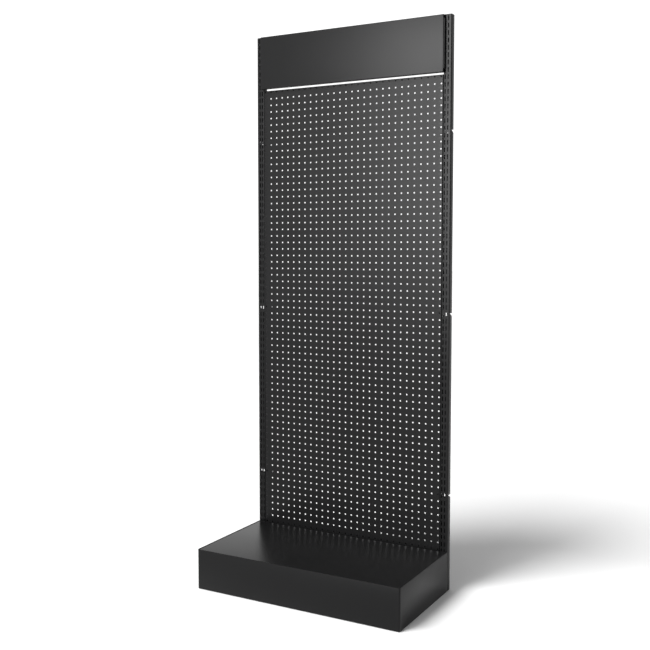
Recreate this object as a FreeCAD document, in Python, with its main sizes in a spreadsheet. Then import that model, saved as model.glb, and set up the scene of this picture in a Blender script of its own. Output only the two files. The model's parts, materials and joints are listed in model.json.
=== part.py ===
"""Pegboard tool wall: a free-standing steel display bay with a perforated back.

Frame: origin at the centre of the footprint on the floor, +Z up, +X to the
bay's right, front towards -Y. All sizes are in millimetres.
"""
import FreeCAD, Part
import math
import os

import Sketcher
from FreeCAD import Placement, Rotation, Vector

# Driving dimensions: cell alias, value, what it sets.
DIMENSIONS = [
    ("bay_width", 800, "overall width"),
    ("bay_depth", 432, "overall depth"),
    ("bay_height", 2035, "overall height, caps included"),
    ("base_height", 145, "height of the base"),
    ("floor_gap", 2, "gap under every fixed panel"),
    ("fit_gap", 0.3, "clearance between parts that move apart"),
    ("post_gap", 0.4, "clearance between the uprights and the sheet beside them"),
    ("post_width", 30, "upright, side to side"),
    ("post_depth", 25, "upright, front to back"),
    ("post_wall", 2, "upright wall"),
    ("post_bend", 4, "outside bend of the upright's outer front corner"),
    ("post_inner_bend", 2.5, "outside bend of the upright's other corners"),
    ("cap_height", 1.5, "top plate of the end cap"),
    ("slot_width", 4, "bracket slot width"),
    ("slot_length", 17.5, "bracket slot length, end to end"),
    ("slot_pitch", 25, "bracket slot spacing"),
    ("slot_count", 80, "bracket slots in one column"),
    ("slot_top", 2021, "height of the topmost slot centre"),
    ("slot_inset", 12.5, "outer slot column from the bay's side"),
    ("slot_columns", 11, "distance between the two slot columns"),
    ("notch_height", 12, "hook notch height at its open rear end"),
    ("notch_depth", 22, "hook notch depth from the upright's rear edge"),
    ("hook_low", 345, "height of the lowest hook notch"),
    ("hook_mid", 994, "height of the middle hook notch"),
    ("hook_high", 1635, "height of the highest hook notch"),
    ("hook_sheet", 2, "hook plate thickness"),
    ("hook_plate_height", 16, "hook plate, top to bottom"),
    ("hook_plate_inner", 24, "hook plate's inner edge from the upright"),
    ("hook_plate_outer", 1.7, "hook plate's outer edge from the upright"),
    ("hook_reach", 5.5, "how far a hook reaches into the upright"),
    ("hook_tip", 3, "width of a hook's hanging tip"),
    ("hook_rise", 5.5, "height of a hook's tongue"),
    ("hook_hang", 11.5, "height of a hook's tip"),
    ("hook_play", 0.5, "play above a hook in its notch"),
    ("peg_pitch", 25, "peg hole spacing both ways"),
    ("peg_hole", 6, "peg hole diameter"),
    ("peg_columns", 30, "peg holes side to side"),
    ("peg_rows", 68, "peg holes top to bottom"),
    ("peg_upper_rows", 34, "rows of peg holes in the upper half"),
    ("peg_top", 1825, "height of the top row of peg holes"),
    ("peg_side_margin", 7, "outer hole centres to the panel's side edge"),
    ("peg_top_margin", 6, "top row of hole centres to the panel's top"),
    ("peg_bottom_margin", 10, "bottom row of hole centres to the panel's bottom"),
    ("peg_return", 15, "depth of the pegboard's folded edges"),
    ("peg_lip", 12, "lip behind the top and bottom rows of holes"),
    ("thin_sheet", 1.2, "sheet of the pegboard, header and deck"),
    ("thin_bend", 2.5, "outside bend of the thin sheet"),
    ("header_width", 749.6, "header panel width"),
    ("header_depth", 14.7, "header panel depth"),
    ("header_bottom", 1836, "height of the header's lower edge"),
    ("header_height", 197, "header panel height"),
    ("bracket_sheet", 2, "header bracket plate"),
    ("hook_seat", 1.1, "bracket hook above the lower end of its slot"),
    ("hook_neck", 8, "height of a bracket hook where it passes the slot"),
    ("hook_drop", 5.5, "how far a bracket hook hangs behind the slot"),
    ("skirt_sheet", 1.5, "base skirt sheet"),
    ("skirt_bend", 6, "outside bend of the skirt's front corners"),
    ("deck_width", 792.6, "deck width, leaving a gap inside the skirt"),
    ("deck_lip", 25, "depth of the deck's folded edges"),
    ("deck_drop", 0.5, "deck surface below the skirt's top edge"),
    ("deck_rear", 188.8, "deck's rear edge"),
    ("deck_corner", 4, "deck's corner radius seen from above"),
    ("shoe_sheet", 2.5, "base shoe sheet"),
    ("shoe_width", 25, "base shoe, side to side"),
    ("shoe_bottom", 22, "height of the base shoe's underside"),
    ("shoe_rear", 177, "rear end of the base shoe's flanges"),
    ("shoe_tail_top", 115, "top of the base shoe's tail beside the upright"),
    ("tie_sheet", 1.5, "rear tie sheet"),
    ("tie_front", 192.5, "front of the rear tie"),
    ("tie_depth", 21, "rear tie, front to back"),
    ("tie_bottom", 30, "height of the rear tie's lower edge"),
    ("tie_height", 60, "rear tie height"),
    ("bolt_dia", 8, "frame bolt"),
    ("bolt_hole", 8.4, "hole for the frame bolt"),
    ("bolt_low", 45, "height of the lower frame bolt"),
    ("bolt_high", 75, "height of the upper frame bolt"),
    ("bolt_hex", 13, "frame bolt and nut, across flats"),
    ("bolt_head", 5.3, "frame bolt head height"),
    ("bolt_nut", 6.8, "frame nut height"),
    ("screw_dia", 4, "skirt screw"),
    ("screw_hole", 4.4, "hole for the skirt screw"),
    ("screw_head_dia", 8, "skirt screw head diameter"),
    ("screw_head", 2.6, "skirt screw head height"),
    ("screw_low", 50, "height of the lower skirt screw"),
    ("screw_high", 95, "height of the upper skirt screw"),
    ("foot_side", 355, "levelling feet from the centre plane"),
    ("foot_front", -185, "front levelling feet"),
    ("foot_rear", 150, "rear levelling feet"),
    ("pad_dia", 44, "foot pad at the floor"),
    ("pad_top_dia", 28, "foot pad at its top"),
    ("pad_height", 8, "foot pad height"),
    ("stem_dia", 10, "levelling stem"),
    ("stem_top", 72, "top of the levelling stem"),
    ("stem_socket", 4, "how far the stem sits in the pad"),
    ("stem_hex", 17, "levelling stem hexagon and weld nut, across flats"),
    ("stem_hex_height", 6, "levelling stem hexagon height"),
    ("nut_bore", 10.2, "weld nut bore"),
    ("weld_nut", 8, "weld nut height"),
    ("hat_width", 40, "deck stiffener, front to back"),
    ("hat_height", 20, "deck stiffener height"),
    ("hat_half_length", 340, "half the deck stiffener's length"),
    ("hat_front", -100, "middle of the front deck stiffener"),
    ("hat_rear", 70, "middle of the rear deck stiffener"),
    ("end_flange_inner", 374, "inner edge of the skirt's end flanges"),
    ("end_flange_drop", 2, "end flanges below the skirt's top edge"),
    ("bottom_return", 8, "return under the skirt's front"),
    ("bottom_return_end", 10, "end of the bottom return from the bay's side"),
    ("bracket_end", 14, "end of a header bracket from the header's edge"),
    ("bracket_front", 3, "header bracket's front edge behind the header's face"),
    ("hook_depth", 3, "header bracket hook behind the upright's wall"),
    ("cap_play", 0.2, "clearance between a cap's ribs and the upright"),
    ("cap_rib", 2, "thickness of a cap's ribs"),
    ("cap_rib_length", 10, "length of a cap's ribs"),
    ("cap_round", 1.05, "rounding of a cap's outer top edge"),
    ("deck_play", 0.2, "clearance between the deck and the skirt's front"),
    ("shoe_play", 4, "gap between a base shoe and the skirt's front"),
    ("shoe_bend", 4, "outside bend of the base shoe"),
    ("shoe_tail_drop", 4, "underside of the tail above the shoe's underside"),
    ("shoe_tail_gap", 2, "tail's rear end before the upright's rear edge"),
    ("shoe_tail_lap", 2, "overlap of the tail and the shoe's web"),
    ("foot_hole_play", 1, "hole in the shoe wider than the weld nut's bore"),
    ("stem_chamfer", 1, "rounding of the stem's upper end"),
    ("bolt_chamfer", 0.6, "chamfer of a bolt head"),
    ("bolt_end", 2, "bolt end beyond its nut"),
    ("screw_round", 1.56, "rounding of a screw head"),
    ("screw_end", 4, "screw end beyond the upright's wall"),
]

SIDES = {"left": -1, "right": 1}
NEAR = 1e-4
OVERCUT = 1

document = FreeCAD.newDocument("PegboardToolWall")
sheet = document.addObject("Spreadsheet::Sheet", "Dims")
for row, (alias, value, meaning) in enumerate(DIMENSIONS, start=1):
    sheet.set(f"A{row}", meaning)
    sheet.set(f"B{row}", str(value))
    sheet.setAlias(f"B{row}", alias)
document.recompute()

nodes = []


def size(alias):
    """The value of one driving dimension."""
    return float(getattr(sheet, alias))


def bind(feature, properties):
    """Bind each property of a feature to an expression on the sheet."""
    for name, expression in properties.items():
        feature.setExpression(name, expression)


# Places worked out from the driving dimensions, as sheet expressions.
HALF_WIDTH = "Dims.bay_width / 2"
FRONT = "-Dims.bay_depth / 2"
REAR = "Dims.bay_depth / 2"
POST_INNER = "(Dims.bay_width / 2 - Dims.post_width)"
POST_FRONT = "(Dims.bay_depth / 2 - Dims.post_depth)"
POST_TOP = "(Dims.bay_height - Dims.cap_height)"
SLOT_INNER = "(Dims.bay_width / 2 - Dims.slot_inset - Dims.slot_columns)"
SLOT_OUTER = "(Dims.bay_width / 2 - Dims.slot_inset)"
HEADER_HALF = "Dims.header_width / 2"
DECK_TOP = "(Dims.base_height - Dims.deck_drop)"
SHOE_TOP = "(Dims.base_height - Dims.deck_drop - Dims.thin_sheet)"
SKIRT_FRONT_INSIDE = "(-Dims.bay_depth / 2 + Dims.skirt_sheet)"
SKIRT_REAR = "(Dims.bay_depth / 2 - Dims.post_depth - Dims.post_gap)"
HOOK_HEIGHTS = ["Dims.hook_low", "Dims.hook_mid", "Dims.hook_high"]
PANEL_REAR = "(Dims.bay_depth / 2 - Dims.post_depth + Dims.peg_return)"

HALF_PANEL = size("peg_pitch") * (size("peg_columns") - 1) / 2 + size("peg_side_margin")


def new_body(label):
    """A PartDesign body that becomes one node."""
    body = document.addObject("PartDesign::Body", label)
    body.Label = label
    nodes.append(body)
    return body


def body_box(body, name, x_span, y_span, z_span):
    """Add a box given as three (low, high) pairs of expressions."""
    feature = body.newObject("PartDesign::AdditiveBox", name)
    bind(feature, {
        "Length": f"({x_span[1]}) - ({x_span[0]})",
        "Width": f"({y_span[1]}) - ({y_span[0]})",
        "Height": f"({z_span[1]}) - ({z_span[0]})",
        "Placement.Base.x": x_span[0],
        "Placement.Base.y": y_span[0],
        "Placement.Base.z": z_span[0],
    })
    document.recompute()
    return feature


def side_span(sign, inner, outer):
    """The x span between two distances from the centre plane, on one side."""
    if sign > 0:
        return inner, outer
    return f"-({outer})", f"-({inner})"


TURN = {
    "x": Rotation(Vector(0, 1, 0), 90),
    "y": Rotation(Vector(1, 0, 0), -90),
    "z": Rotation(),
}


def body_hole(body, name, axis, diameter, length, start):
    """Cut a round hole along an axis from its start point's expressions."""
    before = body.Shape.Volume
    feature = body.newObject("PartDesign::SubtractiveCylinder", name)
    feature.Placement = Placement(Vector(), TURN[axis])
    bind(feature, {
        "Radius": f"{diameter} / 2",
        "Height": length,
        "Placement.Base.x": start[0],
        "Placement.Base.y": start[1],
        "Placement.Base.z": start[2],
    })
    document.recompute()
    if body.Shape.Volume > before - NEAR:
        raise RuntimeError(f"{body.Label}: {name} cuts nothing")
    return feature


def on_plane(item, axis, place):
    """True for an edge or face whose whole box lies on one plane."""
    box = item.BoundBox
    low = getattr(box, axis + "Min")
    high = getattr(box, axis + "Max")
    return abs(low - place) < NEAR and abs(high - place) < NEAR


def is_vertical(edge):
    """True for a straight edge along Z."""
    box = edge.BoundBox
    return box.XLength < NEAR and box.YLength < NEAR


def fillet_edges(body, base, name, radius, test):
    """Round the edges of a feature that pass the test."""
    edges = [f"Edge{i}" for i, edge in enumerate(base.Shape.Edges, 1) if test(edge)]
    feature = body.newObject("PartDesign::Fillet", name)
    feature.Base = (base, edges)
    feature.setExpression("Radius", radius)
    document.recompute()
    return feature


def fold_sheet(body, base, wall, open_planes):
    """Hollow a solid into folded sheet, leaving out the faces on some planes."""
    faces = []
    for i, face in enumerate(base.Shape.Faces, 1):
        if any(on_plane(face, axis, place) for axis, place in open_planes):
            faces.append(f"Face{i}")
    feature = body.newObject("PartDesign::Thickness", "Sheet")
    feature.Base = (base, faces)
    feature.Reversed = True
    feature.Mode = 0
    feature.Join = 0
    feature.setExpression("Value", wall)
    document.recompute()
    return feature


def make_upright(side):
    """A closed tube with two slot columns in front and hook notches at the rear."""
    sign = SIDES[side]
    body = new_body(f"upright_{side}")
    x_span = side_span(sign, POST_INNER, HALF_WIDTH)
    blank = body_box(body, "Blank", x_span, (POST_FRONT, REAR), ("Dims.floor_gap", POST_TOP))
    half = size("bay_width") / 2
    front = size("bay_depth") / 2 - size("post_depth")

    def front_corner(edge, x):
        return is_vertical(edge) and on_plane(edge, "Y", front) and on_plane(edge, "X", x)

    outer = fillet_edges(body, blank, "OuterBend", "Dims.post_bend",
                         lambda edge: front_corner(edge, sign * half))
    inner = fillet_edges(body, outer, "InnerBend", "Dims.post_inner_bend",
                         lambda edge: front_corner(edge, sign * (half - size("post_width"))))
    rear = fillet_edges(body, inner, "RearBends", "Dims.post_inner_bend",
                        lambda edge: is_vertical(edge) and on_plane(edge, "Y", size("bay_depth") / 2))
    fold_sheet(body, rear, "Dims.post_wall",
               [("Z", size("floor_gap")), ("Z", size("bay_height") - size("cap_height"))])
    cut_notches(body, sign)
    for name, height in (("LowBolt", "Dims.bolt_low"), ("HighBolt", "Dims.bolt_high")):
        cut_bolt_hole(body, name, sign, POST_INNER, "Dims.post_wall", height)
    for name, height in (("LowScrew", "Dims.screw_low"), ("HighScrew", "Dims.screw_high")):
        cut_screw_hole(body, name, sign, POST_FRONT, "Dims.post_wall", height)
    cut_slots(body, sign)
    return body


def origin_plane(body, role):
    """One of a body's own origin planes."""
    for feature in body.Origin.OriginFeatures:
        if feature.Role == role:
            return feature
    raise RuntimeError(f"{body.Label} has no {role}")


def new_sketch(body, name, role):
    """A sketch on one of the body's origin planes."""
    sketch = body.newObject("Sketcher::SketchObject", name)
    sketch.AttachmentSupport = (origin_plane(body, role), [""])
    sketch.MapMode = "FlatFace"
    return sketch


def constrain(sketch, name, expression, *arguments):
    """Add a distance constraint and bind it to the sheet."""
    index = sketch.addConstraint(Sketcher.Constraint(*arguments))
    sketch.renameConstraint(index, name)
    sketch.setExpression(f"Constraints.{name}", expression)


def slot_outline(sketch, name, sign, column):
    """One round-ended slot: two straight sides and two half circles."""
    radius = size("slot_width") / 2
    x = sign * (size("bay_width") / 2 - size("slot_inset"))
    if column == "Inner":
        x -= sign * size("slot_columns")
    z = size("slot_top")
    straight = size("slot_length") / 2 - radius
    top = Part.ArcOfCircle(Part.Circle(Vector(x, z + straight, 0), Vector(0, 0, 1), radius),
                           0, math.pi)
    bottom = Part.ArcOfCircle(Part.Circle(Vector(x, z - straight, 0), Vector(0, 0, 1), radius),
                              math.pi, 2 * math.pi)
    left = Part.LineSegment(Vector(x - radius, z + straight, 0), Vector(x - radius, z - straight, 0))
    right = Part.LineSegment(Vector(x + radius, z - straight, 0), Vector(x + radius, z + straight, 0))
    a, b, c, d = sketch.addGeometry([top, left, bottom, right])
    joins = ((a, 2, b, 1), (b, 2, c, 1), (c, 2, d, 1), (d, 2, a, 1))
    for first, first_end, second, second_end in joins:
        sketch.addConstraint(Sketcher.Constraint("Tangent", first, first_end, second, second_end))
    sketch.addConstraint(Sketcher.Constraint("Vertical", b))
    place = SLOT_INNER if column == "Inner" else SLOT_OUTER
    across = (-1, 1, a, 3) if sign > 0 else (a, 3, -1, 1)
    constrain(sketch, f"{name}Across", place, "DistanceX", *across, abs(x))
    constrain(sketch, f"{name}Top", "Dims.slot_top + Dims.slot_length / 2 - Dims.slot_width / 2",
              "DistanceY", -1, 1, a, 3, z + straight)
    constrain(sketch, f"{name}Length", "Dims.slot_length - Dims.slot_width",
              "DistanceY", c, 3, a, 3, 2 * straight)
    constrain(sketch, f"{name}Radius", "Dims.slot_width / 2", "Radius", a, radius)


def cut_slots(body, sign):
    """Two columns of bracket slots through the upright's front wall."""
    before = body.Shape.Volume
    sketch = new_sketch(body, "SlotSketch", "XZ_Plane")
    slot_outline(sketch, "InnerSlot", sign, "Inner")
    slot_outline(sketch, "OuterSlot", sign, "Outer")
    document.recompute()
    pocket = body.newObject("PartDesign::Pocket", "Slots")
    pocket.Profile = sketch
    pocket.Type = "Length"
    pocket.setExpression("Length", f"{POST_FRONT} + Dims.post_wall + {OVERCUT}")
    pocket.Reversed = False
    document.recompute()
    if body.Shape.Volume > before - NEAR:
        pocket.Reversed = True
        document.recompute()
    if body.Shape.Volume > before - NEAR:
        raise RuntimeError(f"{body.Label}: the slots cut nothing")
    pattern = body.newObject("PartDesign::LinearPattern", "SlotPattern")
    pattern.Originals = [pocket]
    pattern.Refine = False
    pattern.Direction = (sketch, ["V_Axis"])
    pattern.Reversed = True
    pattern.setExpression("Length", "Dims.slot_pitch * (Dims.slot_count - 1)")
    pattern.setExpression("Occurrences", "Dims.slot_count")
    body.Tip = pattern
    document.recompute()


def cut_notches(body, sign):
    """Triangular hook notches, open to the rear, through both side walls."""
    before = body.Shape.Volume
    sketch = new_sketch(body, "NotchSketch", "YZ_Plane")
    rear = size("bay_depth") / 2
    tip = rear - size("notch_depth")
    for number, height in enumerate(("hook_low", "hook_mid", "hook_high"), 1):
        top = size(height) + size("notch_height") / 2
        low = size(height) - size("notch_height") / 2
        corners = [Vector(tip, top, 0), Vector(rear, top, 0), Vector(rear, low, 0)]
        lines = []
        for start, end in zip(corners, corners[1:] + corners[:1]):
            lines.append(sketch.addGeometry(Part.LineSegment(start, end)))
        upper, back, slope = lines
        for first, second in ((upper, back), (back, slope), (slope, upper)):
            sketch.addConstraint(Sketcher.Constraint("Coincident", first, 2, second, 1))
        sketch.addConstraint(Sketcher.Constraint("Horizontal", upper))
        sketch.addConstraint(Sketcher.Constraint("Vertical", back))
        constrain(sketch, f"Top{number}", f"Dims.{height} + Dims.notch_height / 2",
                  "DistanceY", -1, 1, upper, 1, top)
        constrain(sketch, f"Rear{number}", REAR, "DistanceX", -1, 1, upper, 2, rear)
        constrain(sketch, f"Depth{number}", "Dims.notch_depth",
                  "DistanceX", upper, 1, upper, 2, rear - tip)
        constrain(sketch, f"Height{number}", "Dims.notch_height",
                  "DistanceY", back, 2, back, 1, top - low)
    document.recompute()
    pocket = body.newObject("PartDesign::Pocket", "Notches")
    pocket.Profile = sketch
    pocket.Type = "ThroughAll"
    pocket.Reversed = sign > 0
    document.recompute()
    if body.Shape.Volume > before - NEAR:
        pocket.Reversed = not pocket.Reversed
        document.recompute()
    if body.Shape.Volume > before - NEAR:
        raise RuntimeError(f"{body.Label}: the notches cut nothing")


def cut_bolt_hole(body, name, sign, inner, wall, height):
    """A frame bolt hole along X through a wall that starts at inner."""
    start = side_span(sign, f"{inner} - {OVERCUT}", f"{inner} + {wall} + {OVERCUT}")[0]
    place = (start, "Dims.tie_front + Dims.tie_depth / 2", height)
    body_hole(body, name, "x", "Dims.bolt_hole", f"{wall} + {2 * OVERCUT}", place)


def cut_screw_hole(body, name, sign, front, wall, height):
    """A skirt screw hole along Y through a wall that starts at front."""
    middle = f"({SLOT_INNER} + {SLOT_OUTER}) / 2"
    x = middle if sign > 0 else f"-({middle})"
    body_hole(body, name, "y", "Dims.screw_hole", f"{wall} + {2 * OVERCUT}",
              (x, f"{front} - {OVERCUT}", height))


def make_post_cap(side):
    """A moulded cap: a plate over the upright and two ribs inside its side walls."""
    sign = SIDES[side]
    body = new_body(f"post_cap_{side}")
    plate = body_box(body, "Plate", side_span(sign, POST_INNER, HALF_WIDTH), (POST_FRONT, REAR),
                     (POST_TOP, "Dims.bay_height"))
    half = size("bay_width") / 2
    front = size("bay_depth") / 2 - size("post_depth")
    corner = fillet_edges(body, plate, "Corner", "Dims.post_bend",
                          lambda edge: is_vertical(edge) and on_plane(edge, "X", sign * half)
                          and on_plane(edge, "Y", front))
    corner = fillet_edges(body, corner, "OtherCorners", "Dims.post_inner_bend",
                          lambda edge: is_vertical(edge)
                          and (on_plane(edge, "X", sign * (half - size("post_width")))
                               or on_plane(edge, "Y", size("bay_depth") / 2)))
    fillet_edges(body, corner, "TopEdge", "Dims.cap_round",
                 lambda edge: on_plane(edge, "Z", size("bay_height"))
                 and on_plane(edge, "X", sign * half))
    near = "(Dims.post_wall + Dims.cap_play)"
    far = "(Dims.post_wall + Dims.cap_play + Dims.cap_rib)"
    ribs = (("InnerRib", f"{POST_INNER} + {near}", f"{POST_INNER} + {far}"),
            ("OuterRib", f"{HALF_WIDTH} - {far}", f"{HALF_WIDTH} - {near}"))
    for name, inner, outer in ribs:
        body_box(body, name, side_span(sign, inner, outer),
                 (f"{POST_FRONT} + Dims.post_bend + Dims.cap_rib",
                  f"{REAR} - Dims.post_bend - Dims.cap_rib"),
                 (f"{POST_TOP} - Dims.cap_rib_length", f"{POST_TOP} + Dims.cap_height / 3"))
    return body


def perforated_sheet(half_width, low, high, rows):
    """A flat sheet with a grid of round holes in some of the pegboard's rows."""
    front = size("bay_depth") / 2 - size("post_depth")
    columns = int(size("peg_columns"))
    corners = [Vector(-half_width, front, low), Vector(half_width, front, low),
               Vector(half_width, front, high), Vector(-half_width, front, high)]
    wires = [Part.makePolygon(corners + corners[:1])]
    for row in rows:
        height = size("peg_top") - row * size("peg_pitch")
        for column in range(columns):
            across = (column - (columns - 1) / 2) * size("peg_pitch")
            circle = Part.makeCircle(size("peg_hole") / 2, Vector(across, front, height),
                                     Vector(0, 1, 0))
            wires.append(Part.Wire(circle))
    face = Part.makeFace(wires, "Part::FaceMakerBullseye")
    return face.extrude(Vector(0, size("thin_sheet"), 0))


def make_pegboard():
    """The perforated back: a folded sheet with a grid of round holes, as two halves."""
    pitch = size("peg_pitch")
    rows = int(size("peg_rows"))
    upper_rows = int(size("peg_upper_rows"))
    wall = size("thin_sheet")
    bend = size("thin_bend")
    front = size("bay_depth") / 2 - size("post_depth")
    depth = size("peg_return")
    top = size("peg_top") + size("peg_top_margin")
    bottom = size("peg_top") - (rows - 1) * pitch - size("peg_bottom_margin")
    middle = size("peg_top") - (upper_rows - 0.5) * pitch

    blank = Part.makeBox(2 * HALF_PANEL, depth, top - bottom, Vector(-HALF_PANEL, front, bottom))
    bends = [edge for edge in blank.Edges if on_plane(edge, "Y", front)]
    blank = blank.makeFillet(bend, bends)
    rear_face = [face for face in blank.Faces if on_plane(face, "Y", front + depth)]
    tray = blank.makeThickness(rear_face, -wall, NEAR)
    flat_x = HALF_PANEL - bend
    window = Part.makeBox(2 * flat_x, wall + 2 * OVERCUT, top - bottom - 2 * bend,
                          Vector(-flat_x, front - OVERCUT, bottom + bend))
    lips = []
    for low in (bottom, top - size("peg_lip")):
        lips.append(Part.makeBox(2 * (HALF_PANEL - wall), wall, size("peg_lip"),
                                 Vector(wall - HALF_PANEL, front + depth - wall, low)))
    folds = tray.cut(window).fuse(lips)

    halves = {
        "upper": (middle, top, middle, top - bend, range(upper_rows)),
        "lower": (bottom, middle, bottom + bend, middle, range(upper_rows, rows)),
    }
    for name, (low, high, flat_low, flat_high, half_rows) in halves.items():
        room = Part.makeBox(2 * (HALF_PANEL + OVERCUT), depth + 2 * OVERCUT, high - low,
                            Vector(-HALF_PANEL - OVERCUT, front - OVERCUT, low))
        shape = folds.common(room).fuse(perforated_sheet(flat_x, flat_low, flat_high, half_rows))
        if len(shape.Solids) != 1:
            raise RuntimeError(f"the {name} half of the pegboard is {len(shape.Solids)} solids")
        panel = document.addObject("Part::Feature", f"pegboard_{name}")
        panel.Label = f"pegboard_{name}"
        panel.Shape = shape.Solids[0]
        nodes.append(panel)


def bound_box(name, x_span, y_span, z_span):
    """A Part box given as three (low, high) pairs of expressions."""
    box = document.addObject("Part::Box", name)
    bind(box, {
        "Length": f"({x_span[1]}) - ({x_span[0]})",
        "Width": f"({y_span[1]}) - ({y_span[0]})",
        "Height": f"({z_span[1]}) - ({z_span[0]})",
        "Placement.Base.x": x_span[0],
        "Placement.Base.y": y_span[0],
        "Placement.Base.z": z_span[0],
    })
    return box


def make_panel_hooks(side):
    """Three plates behind the pegboard whose tongues hook into the notches."""
    sign = SIDES[side]
    y_span = (PANEL_REAR, f"{PANEL_REAR} + Dims.hook_sheet")
    neck_start = f"{POST_INNER} - Dims.hook_plate_outer - Dims.fit_gap"
    neck_end = f"{POST_INNER} + Dims.hook_reach"
    hooks = []
    for number, height in enumerate(HOOK_HEIGHTS, 1):
        top = f"({height} + Dims.notch_height / 2 - Dims.hook_play)"
        plate_span = side_span(sign, f"{POST_INNER} - Dims.hook_plate_inner",
                               f"{POST_INNER} - Dims.hook_plate_outer")
        plate = bound_box(f"hook_plate_{side}_{number}", plate_span, y_span,
                          (f"{height} - Dims.hook_plate_height / 2",
                           f"{height} + Dims.hook_plate_height / 2"))
        tongue = bound_box(f"hook_tongue_{side}_{number}",
                           side_span(sign, neck_start, neck_end),
                           y_span, (f"{top} - Dims.hook_rise", top))
        tip = bound_box(f"hook_tip_{side}_{number}",
                        side_span(sign, f"{neck_end} - Dims.hook_tip", neck_end),
                        y_span, (f"{top} - Dims.hook_hang", top))
        hook = document.addObject("Part::MultiFuse", f"hook_{side}_{number}")
        hook.Shapes = [plate, tongue, tip]
        hook.Refine = True
        hooks.append(hook)
    group = document.addObject("Part::Compound", f"panel_hooks_{side}")
    group.Label = f"panel_hooks_{side}"
    group.Links = hooks
    nodes.append(group)
    return group


def make_header():
    """The plain header: a shallow folded tray, open to the rear."""
    body = new_body("header_panel")
    front = f"{POST_FRONT} - Dims.fit_gap - Dims.header_depth"
    blank = body_box(body, "Blank", (f"-{HEADER_HALF}", HEADER_HALF),
                     (front, f"{POST_FRONT} - Dims.fit_gap"),
                     ("Dims.header_bottom", "Dims.header_bottom + Dims.header_height"))
    rear = size("bay_depth") / 2 - size("post_depth") - size("fit_gap")
    front_plane = rear - size("header_depth")
    bends = fillet_edges(body, blank, "Bends", "Dims.thin_bend",
                         lambda edge: on_plane(edge, "Y", front_plane))
    fold_sheet(body, bends, "Dims.thin_sheet", [("Y", rear)])
    return body


def make_header_bracket(side):
    """A side plate of the header with two hooks for the upright's slots."""
    sign = SIDES[side]
    body = new_body(f"header_bracket_{side}")
    x_span = side_span(sign, HEADER_HALF, f"{HEADER_HALF} + Dims.bracket_sheet")
    back = f"{POST_FRONT} - Dims.fit_gap"
    body_box(body, "Plate", x_span, (f"{back} - Dims.header_depth + Dims.bracket_front", back),
             ("Dims.header_bottom + Dims.bracket_end",
              "Dims.header_bottom + Dims.header_height - Dims.bracket_end"))
    for name, pitches in (("Upper", 1), ("Lower", 6)):
        slot_end = f"Dims.slot_top - {pitches} * Dims.slot_pitch - Dims.slot_length / 2"
        foot = f"({slot_end} + Dims.hook_seat)"
        behind = f"{POST_FRONT} + Dims.post_wall + Dims.post_gap"
        body_box(body, f"{name}Neck", x_span, (back, f"{behind} + Dims.hook_depth"),
                 (foot, f"{foot} + Dims.hook_neck"))
        body_box(body, f"{name}Drop", x_span, (behind, f"{behind} + Dims.hook_depth"),
                 (f"{foot} - Dims.hook_drop", f"{foot} + Dims.hook_neck"))
    return body


def make_skirt():
    """The base skirt: front and both sides in one sheet, with rear end flanges."""
    body = new_body("base_skirt")
    blank = body_box(body, "Blank", (f"-{HALF_WIDTH}", HALF_WIDTH), (FRONT, SKIRT_REAR),
                     ("Dims.floor_gap", "Dims.base_height"))
    front = -size("bay_depth") / 2
    rear = size("bay_depth") / 2 - size("post_depth") - size("post_gap")
    bends = fillet_edges(body, blank, "CornerBends", "Dims.skirt_bend",
                         lambda edge: is_vertical(edge) and on_plane(edge, "Y", front))
    fold_sheet(body, bends, "Dims.skirt_sheet",
               [("Y", rear), ("Z", size("floor_gap")), ("Z", size("base_height"))])
    for side, sign in SIDES.items():
        x_span = side_span(sign, "Dims.end_flange_inner", f"{HALF_WIDTH} - Dims.skirt_sheet / 2")
        body_box(body, f"EndFlange{side}", x_span, (f"{SKIRT_REAR} - Dims.skirt_sheet", SKIRT_REAR),
                 ("Dims.floor_gap", "Dims.base_height - Dims.end_flange_drop"))
    return_end = f"{HALF_WIDTH} - Dims.bottom_return_end"
    body_box(body, "BottomReturn", (f"-({return_end})", return_end),
             (f"{FRONT} + Dims.skirt_sheet / 2", f"{FRONT} + Dims.bottom_return"),
             ("Dims.floor_gap", "Dims.floor_gap + Dims.skirt_sheet"))
    for side, sign in SIDES.items():
        front_face = f"{SKIRT_REAR} - Dims.skirt_sheet"
        for name, height in (("Low", "Dims.screw_low"), ("High", "Dims.screw_high")):
            cut_screw_hole(body, f"{name}Screw{side}", sign, front_face, "Dims.skirt_sheet", height)
    return body


def make_deck():
    """The lift-off deck: a shallow tray, upside down, on the base shoes."""
    body = new_body("base_deck")
    front = f"{SKIRT_FRONT_INSIDE} + Dims.deck_play"
    blank = body_box(body, "Blank", ("-Dims.deck_width / 2", "Dims.deck_width / 2"),
                     (front, "Dims.deck_rear"), (f"{DECK_TOP} - Dims.deck_lip", DECK_TOP))
    top = size("base_height") - size("deck_drop")
    corners = fillet_edges(body, blank, "Corners", "Dims.deck_corner", is_vertical)
    bends = fillet_edges(body, corners, "Bends", "Dims.thin_bend",
                         lambda edge: on_plane(edge, "Z", top))
    fold_sheet(body, bends, "Dims.thin_sheet", [("Z", top - size("deck_lip"))])
    return body


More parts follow.
